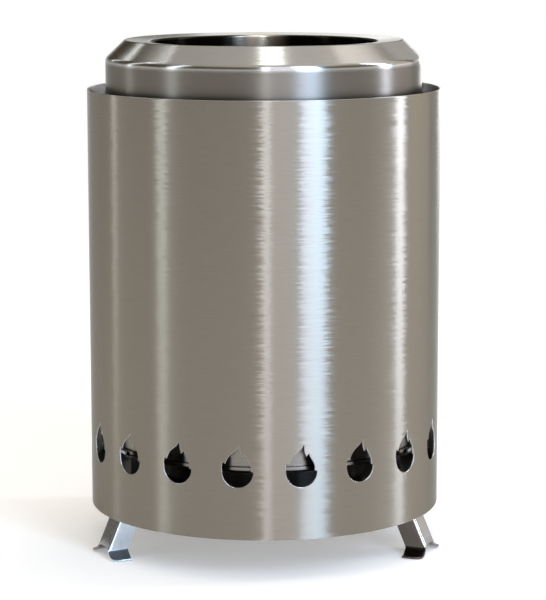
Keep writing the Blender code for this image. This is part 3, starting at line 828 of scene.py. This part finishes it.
# The flame's outline, clockwise from its tip
def flameOutline(flame, curveSteps, bellySteps):
    points = curve(flame["tip"], *flame["tipToRightNotch"], flame["rightNotch"], curveSteps)
    points.append(Vector(flame["rightNotch"]))
    points += curve(flame["rightTip"], *flame["rightTipToShoulder"], flame["shoulder"], curveSteps)
    points.append(Vector(flame["shoulder"]))
    for step in range(bellySteps + 1):
        angle = -pi * step / bellySteps
        points.append(Vector((cos(angle), sin(angle))))
    points += curve((-1.0, 0.0), *flame["bellyToLeftTip"], flame["leftTip"], curveSteps // 2)[1:]
    points.append(Vector(flame["leftTip"]))
    points += curve(flame["leftNotch"], *flame["leftNotchToTip"], flame["tip"], curveSteps)
    return points


def makeShell(steel):
    low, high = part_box("outer_shell")
    sheet = dict(shellShape, radius=high.x, low=low.z, high=high.z)
    row = dict(ventRow, height=low.z + ventRow["rise"])
    flame = flameOutline(flameShape, row["curveSteps"], row["bellySteps"])
    outline = [point * row["belly"] for point in flame[::-1]]
    shell = holedCylinder("shell_skin", sheet, row, outline, steel)
    settle(shell, "stove_base", "outer_shell")


# Top ring: neck, knuckle, cone and inward lip

topRingShape = {
    "thickness": 0.0008, "coneRise": 0.0093, "coneRun": 0.0098, "knuckle": 0.0035, "crown": 0.0012,
    "lipWidth": 0.0130, "lipDrop": 0.0009, "mouthBend": 0.0012, "collar": 0.0095,
    "edge": 0.0003, "bendSteps": 10,
}


def makeTopRing(steel, shape):
    low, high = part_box("top_ring")
    neck = high.x
    crown = neck - shape["coneRun"]
    mouth = crown - shape["lipWidth"]
    lip = high.z - shape["lipDrop"]
    path = [
        (neck, low.z, 0),
        (neck, high.z - shape["coneRise"], shape["knuckle"]),
        (crown, high.z, shape["crown"]),
        (mouth, lip, shape["mouthBend"]),
        (mouth, lip - shape["collar"], 0),
    ]
    ring = turnedPiece("top_ring_skin", sheetSection(path, shape), steel)
    settle(ring, "firebox", "top_ring")


# Firebox drum: wall with a row of air holes high up, and a floor with an upturned edge

fireboxShape = {
    "thickness": 0.0008, "floorBend": 0.0012, "floorFlange": 0.0026, "edge": 0.00018, "bendSteps": 6,
}

airHoles = {
    "count": 24, "radius": 0.0025, "steps": 24, "drop": 0.0260,
    "columns": 10, "sideRows": 6, "upperRows": 2, "margin": 0.0020, "edgeSteps": 2,
}


def makeFirebox(steel, shape, holes):
    low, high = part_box("firebox_wall")
    sheet = dict(shape, radius=high.x, low=low.z, high=high.z)
    row = dict(holes, height=high.z - holes["drop"], turn=pi / holes["count"])
    angles = [2 * pi * step / holes["steps"] for step in range(holes["steps"])]
    outline = [Vector((cos(angle), sin(angle))) * holes["radius"] for angle in angles]
    wall = holedCylinder("firebox_drum", sheet, row, outline, steel)
    settle(wall, "firebox", "firebox_wall")

    low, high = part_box("firebox_floor")
    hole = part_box("fire_grate")[1].x - grateShape["seat"]
    top = low.z + shape["floorFlange"]
    path = [(hole, low.z, 0), (high.x, low.z, shape["floorBend"]), (high.x, top, 0)]
    floor = turnedPiece("firebox_floor_pan", sheetSection(path, shape), steel)
    settle(floor, "firebox", "firebox_floor")


# Spacer ring and ash pan

spacerShape = {"thickness": 0.0008, "bend": 0.0016, "edge": 0.0002, "neckGap": 0.0004, "bendSteps": 5}
panShape = {
    "thickness": 0.0008, "bend": 0.0025, "lip": 0.0030, "lipBend": 0.0004, "edge": 0.0002,
    "bendSteps": 6,
}


def makeSpacer(steel, shape):
    low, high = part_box("spacer_ring")
    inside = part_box("top_ring")[1].x + shape["neckGap"]
    path = [
        (high.x, low.z, 0), (high.x, high.z, shape["bend"]),
        (inside, high.z, shape["bend"]), (inside, low.z, 0),
    ]
    ring = turnedPiece("spacer_channel", sheetSection(path, shape), steel)
    settle(ring, "stove_base", "spacer_ring")


def makeAshPan(steel, shape):
    low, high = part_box("ash_pan")
    wall = high.x - shape["lip"]
    under = high.z - shape["thickness"]
    path = [
        (0, low.z, 0), (wall, low.z, shape["bend"]), (wall, under, shape["lipBend"]), (high.x, under, 0),
    ]
    pan = turnedPiece("ash_pan_dish", sheetSection(path, shape), steel)
    settle(pan, "ash_pan", "ash_pan")


# Fire grate: a thick plate with two rings of slots and a finger hole

# For each ring of slots: their number, where they start and their length
grateShape = {
    "plate": 0.0018, "seat": 0.0060, "gap": 0.0004, "finger": 0.0060, "edge": 0.00035, "turnSteps": 96,
    "rings": ((8, 0.0105, 0.0120), (16, 0.0270, 0.0150)), "slotWidth": 0.0036, "slotSteps": 8,
    "cutMargin": 0.002,
}

softEdges = {"segments": 2, "sharpAngle": radians(40)}


def slotCutter(shape, low, high):
    bm = bmesh.new()
    half = shape["slotWidth"] / 2
    for count, start, length in shape["rings"]:
        for index in range(count):
            angle = 2 * pi * (index + 0.5) / count
            outline = []
            for centre, first in ((start + length - half, 0.0), (start + half, pi)):
                for step in range(shape["slotSteps"] + 1):
                    turn = first + pi * (step / shape["slotSteps"] - 0.5)
                    reach, side = centre + half * cos(turn), half * sin(turn)
                    x = reach * sin(angle) + side * cos(angle)
                    y = -reach * cos(angle) + side * sin(angle)
                    outline.append((x, y))
            bottom = [bm.verts.new((x, y, low)) for x, y in outline]
            top = [bm.verts.new((x, y, high)) for x, y in outline]
            bm.faces.new(bottom[::-1])
            bm.faces.new(top)
            for one in range(len(outline)):
                two = (one + 1) % len(outline)
                bm.faces.new((bottom[one], bottom[two], top[two], top[one]))
    mesh = bpy.data.meshes.new("slots")
    bm.to_mesh(mesh)
    bm.free()
    return addObject("slots", mesh)


def applyModifiers(item):
    depsgraph = bpy.context.evaluated_depsgraph_get()
    mesh = bpy.data.meshes.new_from_object(item.evaluated_get(depsgraph))
    item.modifiers.clear()
    item.data = mesh


def cutWith(item, cutter):
    modifier = item.modifiers.new("cut", "BOOLEAN")
    modifier.operation = "DIFFERENCE"
    modifier.solver = "EXACT"
    modifier.object = cutter
    applyModifiers(item)
    bpy.data.objects.remove(cutter, do_unlink=True)


def softenEdges(item, width):
    bevel = item.modifiers.new("soft edges", "BEVEL")
    bevel.width = width
    bevel.segments = softEdges["segments"]
    bevel.limit_method = "ANGLE"
    bevel.angle_limit = softEdges["sharpAngle"]
    bevel.harden_normals = True
    item.data.shade_smooth()
    applyModifiers(item)


def makeGrate(steel, shape):
    low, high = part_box("fire_grate")
    spigot = high.x - shape["seat"] - shape["gap"]
    seat = high.z - shape["plate"]
    corners = [
        (shape["finger"], low.z, 0), (spigot, low.z, 0), (spigot, seat, 0), (high.x, seat, 0),
        (high.x, high.z, 0), (shape["finger"], high.z, 0),
    ]
    grate = turnedPiece("grate_plate", roundSection(corners, 1), steel, shape["turnSteps"])
    cutWith(grate, slotCutter(shape, low.z - shape["cutMargin"], high.z + shape["cutMargin"]))
    softenEdges(grate, shape["edge"])
    settle(grate, "grate", "fire_grate")


# Legs: a bent channel whose flanges turn out into feet

legShape = {
    "sheet": 0.0010, "lean": radians(24), "width": 0.0132, "depth": 0.0104, "bend": 0.0015,
    "flare": 0.0084, "slope": radians(68), "footBend": 0.0012, "curl": 0.0030, "flat": 0.0015,
    "corner": 0.0052, "arch": 0.0010,
    "pinDepth": 0.0050, "pinHole": 0.0017, "bracketSheet": 0.0010, "bracketGap": 0.0003,
    "edge": 0.00012,
    "flangeSteps": 12, "bendSteps": 8, "webSteps": 3, "rows": 6,
    "footBendRows": 6, "slopeRows": 4, "cornerRows": 12, "holeSteps": 32,
}

legJoints = {"leg_1": "left_leg_fold", "leg_2": "right_leg_fold", "leg_3": "rear_leg_fold"}


def evenSteps(start, length, steps):
    return [start + length * (step + 1) / steps for step in range(steps)]


# The foot's sweep from the flange: the lengths of its bend, slope, curl and flat sole
def footLengths(shape):
    slope, bend, curl = shape["slope"], shape["footBend"], shape["curl"]
    curved = bend * (1 - cos(slope)) + curl * cos(slope)
    straight = (shape["flare"] - shape["flat"] - curved) / sin(slope)
    return bend * slope, straight, curl * (pi / 2 - slope), shape["flat"]


# The place (sideways, down) at a length along that sweep
def footPoint(shape, gone):
    slope, bend, curl = shape["slope"], shape["footBend"], shape["curl"]
    bent, straight, curled, _ = footLengths(shape)
    angle = min(gone / bend, slope)
    side, down = bend * (1 - cos(angle)), bend * sin(angle)
    run = min(max(gone - bent, 0.0), straight)
    side, down = side + run * sin(slope), down + run * cos(slope)
    angle = slope + min(max(gone - bent - straight, 0.0), curled) / curl
    side, down = side + curl * (cos(slope) - cos(angle)), down + curl * (sin(angle) - sin(slope))
    return side + max(gone - bent - straight - curled, 0.0), down


# Lengths down the foot: even ones over its bend and slope, closer ones where the outer corner is rounded
def footStations(shape):
    bent = footLengths(shape)[0]
    length = sum(footLengths(shape))
    stations = evenSteps(0.0, bent, shape["footBendRows"])
    stations += evenSteps(bent, length - shape["corner"] - bent, shape["slopeRows"])
    angles = evenSteps(0.0, pi / 2, shape["cornerRows"])
    return stations + [length - shape["corner"] * (1 - sin(angle)) for angle in angles]


# Across the channel, (outwards, sideways), from one flange's free edge over the web to the other's
def legColumns(shape):
    half = shape["width"] / 2
    web, bend = shape["pinDepth"], shape["bend"]
    free, corner = web - shape["depth"], web - bend
    columns = []
    for step in range(shape["flangeSteps"] + 1):
        share = 1 - cos(pi / 2 * step / shape["flangeSteps"])
        columns.append((free + (corner - free) * share, half))
    for angle in evenSteps(0.0, pi / 2, shape["bendSteps"]):
        columns.append((corner + bend * sin(angle), half - bend * (1 - cos(angle))))
    steps = shape["webSteps"]
    middle = [(web, (half - bend) * step / steps) for step in range(steps - 1, -steps, -1)]
    return columns + middle + [(out, -side) for out, side in columns[::-1]]


# The leg's outer face, round its hinge pin and facing the stove's front
def legSheet(shape, pinHeight, webTop):
    half = shape["width"] / 2
    web, lean = shape["pinDepth"], shape["lean"]
    free, corner = web - shape["depth"], web - shape["bend"]
    length = sum(footLengths(shape))
    footTop = shape["sheet"] + footPoint(shape, length)[1] - pinHeight
    columns = legColumns(shape)

    def top(out):       # the ears are round about the pin, and the web is cut level
        inside = free ** 2 - out ** 2
        roundTop = sqrt(inside) if inside > 0 else 0.0
        return -max(roundTop, webTop / cos(lean) - web * tan(lean)) if out > 0 else -roundTop

    def bottom(out, side):
        arch = shape["arch"] * (1 - (side / half) ** 2) if out > corner else 0.0
        return (out * sin(lean) - footTop - arch) / cos(lean)

    def legPoint(out, down, side):
        return Vector((side, -(out * cos(lean) + down * sin(lean)), out * sin(lean) - down * cos(lean)))

    bm = bmesh.new()

    def skin(rows):
        for upper, lower in zip(rows, rows[1:]):
            for index in range(len(upper) - 1):
                bm.faces.new((upper[index], upper[index + 1], lower[index + 1], lower[index]))

    rows = []
    for step in range(shape["rows"] + 1):
        share = step / shape["rows"]
        rows.append([
            bm.verts.new(legPoint(out, top(out) * (1 - share) + bottom(out, side) * share, side))
            for out, side in columns
        ])
    skin(rows)
    for sign in (1, -1):
        flange = list(range(shape["flangeSteps"] + shape["bendSteps"] // 2 + 1))
        if sign < 0:
            flange = [len(columns) - 1 - index for index in flange]
        footRows = [[rows[-1][index] for index in flange]]
        edge = columns[flange[-1]][0]
        for gone in footStations(shape):
            side, down = footPoint(shape, gone)
            into = max(0.0, 1 - (length - gone) / shape["corner"])
            rounding = shape["corner"] * (1 - sqrt(max(0.0, 1 - into ** 2)))
            shrink = (edge - rounding - free) / (edge - free)
            drift = Vector((sign * side, -down * tan(lean), -down))
            row = []
            for index in flange:
                out = free + (columns[index][0] - free) * shrink
                row.append(bm.verts.new(legPoint(out, bottom(out, half), sign * half) + drift))
            footRows.append(row)
        skin(footRows if sign > 0 else [row[::-1] for row in footRows])
    return bm


# A round bar along the pin, to drill both flanges
def pinDrill(shape, steel):
    reach, radius = shape["width"], shape["pinHole"]
    corners = [(0, -reach, 0), (radius, -reach, 0), (radius, reach, 0), (0, reach, 0)]
    drill = turnedPiece("drill", roundSection(corners, 1), steel, shape["holeSteps"])
    drill.data.transform(Matrix.Rotation(pi / 2, 4, "Y"))
    return drill


def makeLegs(steels, shape):
    for name, joint in legJoints.items():
        hinge = next(row for row in frame["joints"] if row["name"] == joint)
        pin = Vector(hinge["pos_m"])
        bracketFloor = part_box("leg_bracket_" + name[-1])[1].z - shape["bracketSheet"]
        bm = legSheet(shape, pin.z, bracketFloor - shape["bracketGap"] - pin.z)
        mesh = bpy.data.meshes.new(name)
        bm.to_mesh(mesh)
        bm.free()
        mesh.materials.append(steels[name])
        mesh.shade_smooth()
        leg = addObject(name + "_channel", mesh)
        solid = leg.modifiers.new("sheet", "SOLIDIFY")
        solid.thickness = shape["sheet"]
        solid.offset = -1.0
        solid.use_even_offset = True
        applyModifiers(leg)
        cutWith(leg, pinDrill(shape, steels[name]))
        softenEdges(leg, shape["edge"])
        turn = Matrix.Rotation(atan2(pin.x, -pin.y), 4, "Z")
        leg.data.transform(Matrix.Translation(pin) @ turn)
        settle(leg, hinge["child"], name)


# Small pieces that keep their modelled shape and take a finish of their own

def dressNodes(finishes):
    for name, steel in finishes.items():
        nodes[name].data.materials.clear()
        nodes[name].data.materials.append(steel)


bpy.context.scene.view_settings.view_transform = "Standard"
makeCamera(cameraView)
makeFloor(floorLook)
makeRoom(roomLook)
makeLamps(lampRing, overheadLamp, cameraView["azimuth"])
print("camera, floor and lamps are in place")

shellSteel = brushedSteel("shellSteel", shellFinish)
ringSteel = brushedSteel("topRingSteel", ringFinish)
fireboxSteel = brushedSteel("fireboxSteel", fireboxFinish)
plainSteel = brushedSteel("plainSteel", plainFinish)
grateSteel = brushedSteel("grateSteel", grateFinish)
legSteels = {
    "leg_1": stripSteel("leftLegPaintedLightSteel", leftLegPaintedLight),
    "leg_2": stripSteel("rightLegPaintedLightSteel", rightLegPaintedLight),
    "leg_3": stripSteel("rearLegSteel", legFinish),
}
bracketSteel = stripSteel("bracketSteel", bracketFinish)
rivetSteel = stripSteel("rivetSteel", rivetFinish)
print("steels are mixed")

makeShell(shellSteel)
print("shell is cut and rolled")
makeTopRing(ringSteel, topRingShape)
makeFirebox(fireboxSteel, fireboxShape, airHoles)
makeSpacer(plainSteel, spacerShape)
makeAshPan(plainSteel, panShape)
makeGrate(grateSteel, grateShape)
print("firebox, top ring, spacer, grate and ash pan are turned")
makeLegs(legSteels, legShape)
print("legs are bent")
dressNodes({
    "base_plate": plainSteel,
    **{f"base_rivet_{number}": rivetSteel for number in range(1, 7)},
    **{f"leg_pin_{number}": rivetSteel for number in range(1, 4)},
    **{f"leg_bracket_{number}": bracketSteel for number in range(1, 4)},
    **{f"firebox_rest_{number}": bracketSteel for number in range(1, 4)},
})
print("small pieces are finished")
